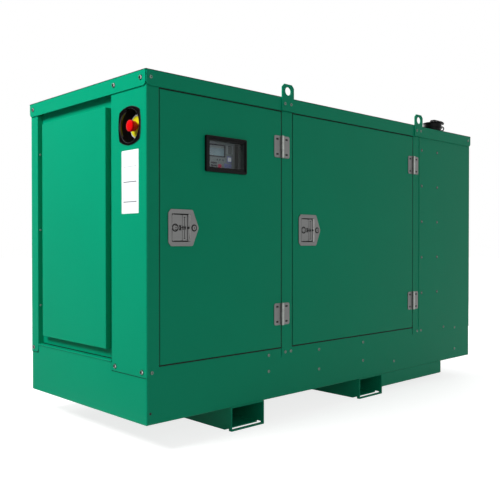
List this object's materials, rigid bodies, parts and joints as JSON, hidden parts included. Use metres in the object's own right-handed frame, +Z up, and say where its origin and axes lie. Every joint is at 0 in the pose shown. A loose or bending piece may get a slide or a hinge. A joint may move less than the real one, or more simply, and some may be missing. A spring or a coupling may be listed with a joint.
{
  "type": "enclosed diesel generator set",
  "caption": "Sound-proofed diesel generator set: steel canopy with hinged doors, control window and stop button on a fuel-tank base with fork channels.",
  "frame": {"origin": "on the ground, under the middle of the machine", "axes": "+X along the length from the air-inlet end to the discharge end, -Y towards the control side, +Z up"},
  "size_m": [2.338, 0.937, 1.483],
  "materials": {
    "green_paint": "semi-gloss powder coat",
    "acoustic_foam": "open-cell foam",
    "stainless_steel": "brushed",
    "black_plastic": "satin moulded",
    "window_glass": "clear, smooth",
    "dark_grey_paint": "matt",
    "controller_grey": "satin moulded",
    "yellow_plastic": "satin",
    "red_plastic": "gloss",
    "black_paint": "high-temperature matt",
    "machinery_grey": "satin",
    "machinery_black": "painted"
  },
  "bodies": {
    "housing": {"base_rail_front": "green_paint", "base_rail_rear": "green_paint", "base_ends": "green_paint", "base_tank": "green_paint", "fork_channel_1": "green_paint", "fork_channel_2": "green_paint", "drop_sump": "green_paint", "corner_post_front": "green_paint", "corner_post_rear": "green_paint", "door_frame_front": "green_paint", "door_frame_rear": "green_paint", "side_panel_front": "green_paint", "side_panel_rear": "green_paint", "inlet_panel": "green_paint", "inlet_baffle": "green_paint", "outlet_panel": "green_paint", "outlet_baffle": "green_paint", "roof": "green_paint", "lifting_eyes": "green_paint", "rear_door_1": "green_paint", "rear_door_2": "green_paint", "hinge_post_leaves": "stainless_steel", "hinges_rear": "stainless_steel", "latches_rear": "stainless_steel", "control_cabinet": "dark_grey_paint", "controller": "controller_grey", "stop_cup": "black_plastic", "stop_ring": "yellow_plastic", "exhaust_outlet": "black_paint", "alternator": "machinery_grey", "engine": "machinery_black", "radiator": "black_paint"},
    "control_door": {"control_door": "green_paint", "control_door_lining": "acoustic_foam", "hinge_leaves_control_door": "stainless_steel", "latch_plate_control_door": "stainless_steel", "window_frame": "black_plastic", "window_glass": "window_glass"},
    "engine_door": {"engine_door": "green_paint", "engine_door_lining": "acoustic_foam", "hinge_leaves_engine_door": "stainless_steel", "latch_plate_engine_door": "stainless_steel"},
    "control_latch": {"latch_paddle_control_door": "stainless_steel"},
    "engine_latch": {"latch_paddle_engine_door": "stainless_steel"},
    "stop_button": {"stop_button": "red_plastic"},
    "rain_flap": {"rain_flap": "black_paint"}
  },
  "joints": [
    {"name": "control_door_hinge", "type": "hinge", "parent": "housing", "child": "control_door", "pos_m": [-0.4555, -0.4615, 0.8255], "axis": [0, 0, 1], "range_deg": [0, 105]},
    {"name": "engine_door_hinge", "type": "hinge", "parent": "housing", "child": "engine_door", "pos_m": [0.5615, -0.4615, 0.8255], "axis": [0, 0, 1], "range_deg": [0, 105]},
    {"name": "control_latch_paddle", "type": "hinge", "parent": "control_door", "child": "control_latch", "pos_m": [-1.0415, -0.4525, 0.8255], "axis": [0, 0, -1], "range_deg": [0, 40], "stiffness_Nm_per_rad": 0.3},
    {"name": "engine_latch_paddle", "type": "hinge", "parent": "engine_door", "child": "engine_latch", "pos_m": [-0.3215, -0.4525, 0.8255], "axis": [0, 0, -1], "range_deg": [0, 40], "stiffness_Nm_per_rad": 0.3},
    {"name": "stop_button_press", "type": "slide", "parent": "housing", "child": "stop_button", "axis": [1, 0, 0], "range_m": [0, 0.004], "stiffness_N_per_m": 800},
    {"name": "rain_flap_hinge", "type": "hinge", "parent": "housing", "child": "rain_flap", "pos_m": [0.9725, -0.358, 1.472], "axis": [0, 1, 0], "range_deg": [0, 55]}
  ]
}
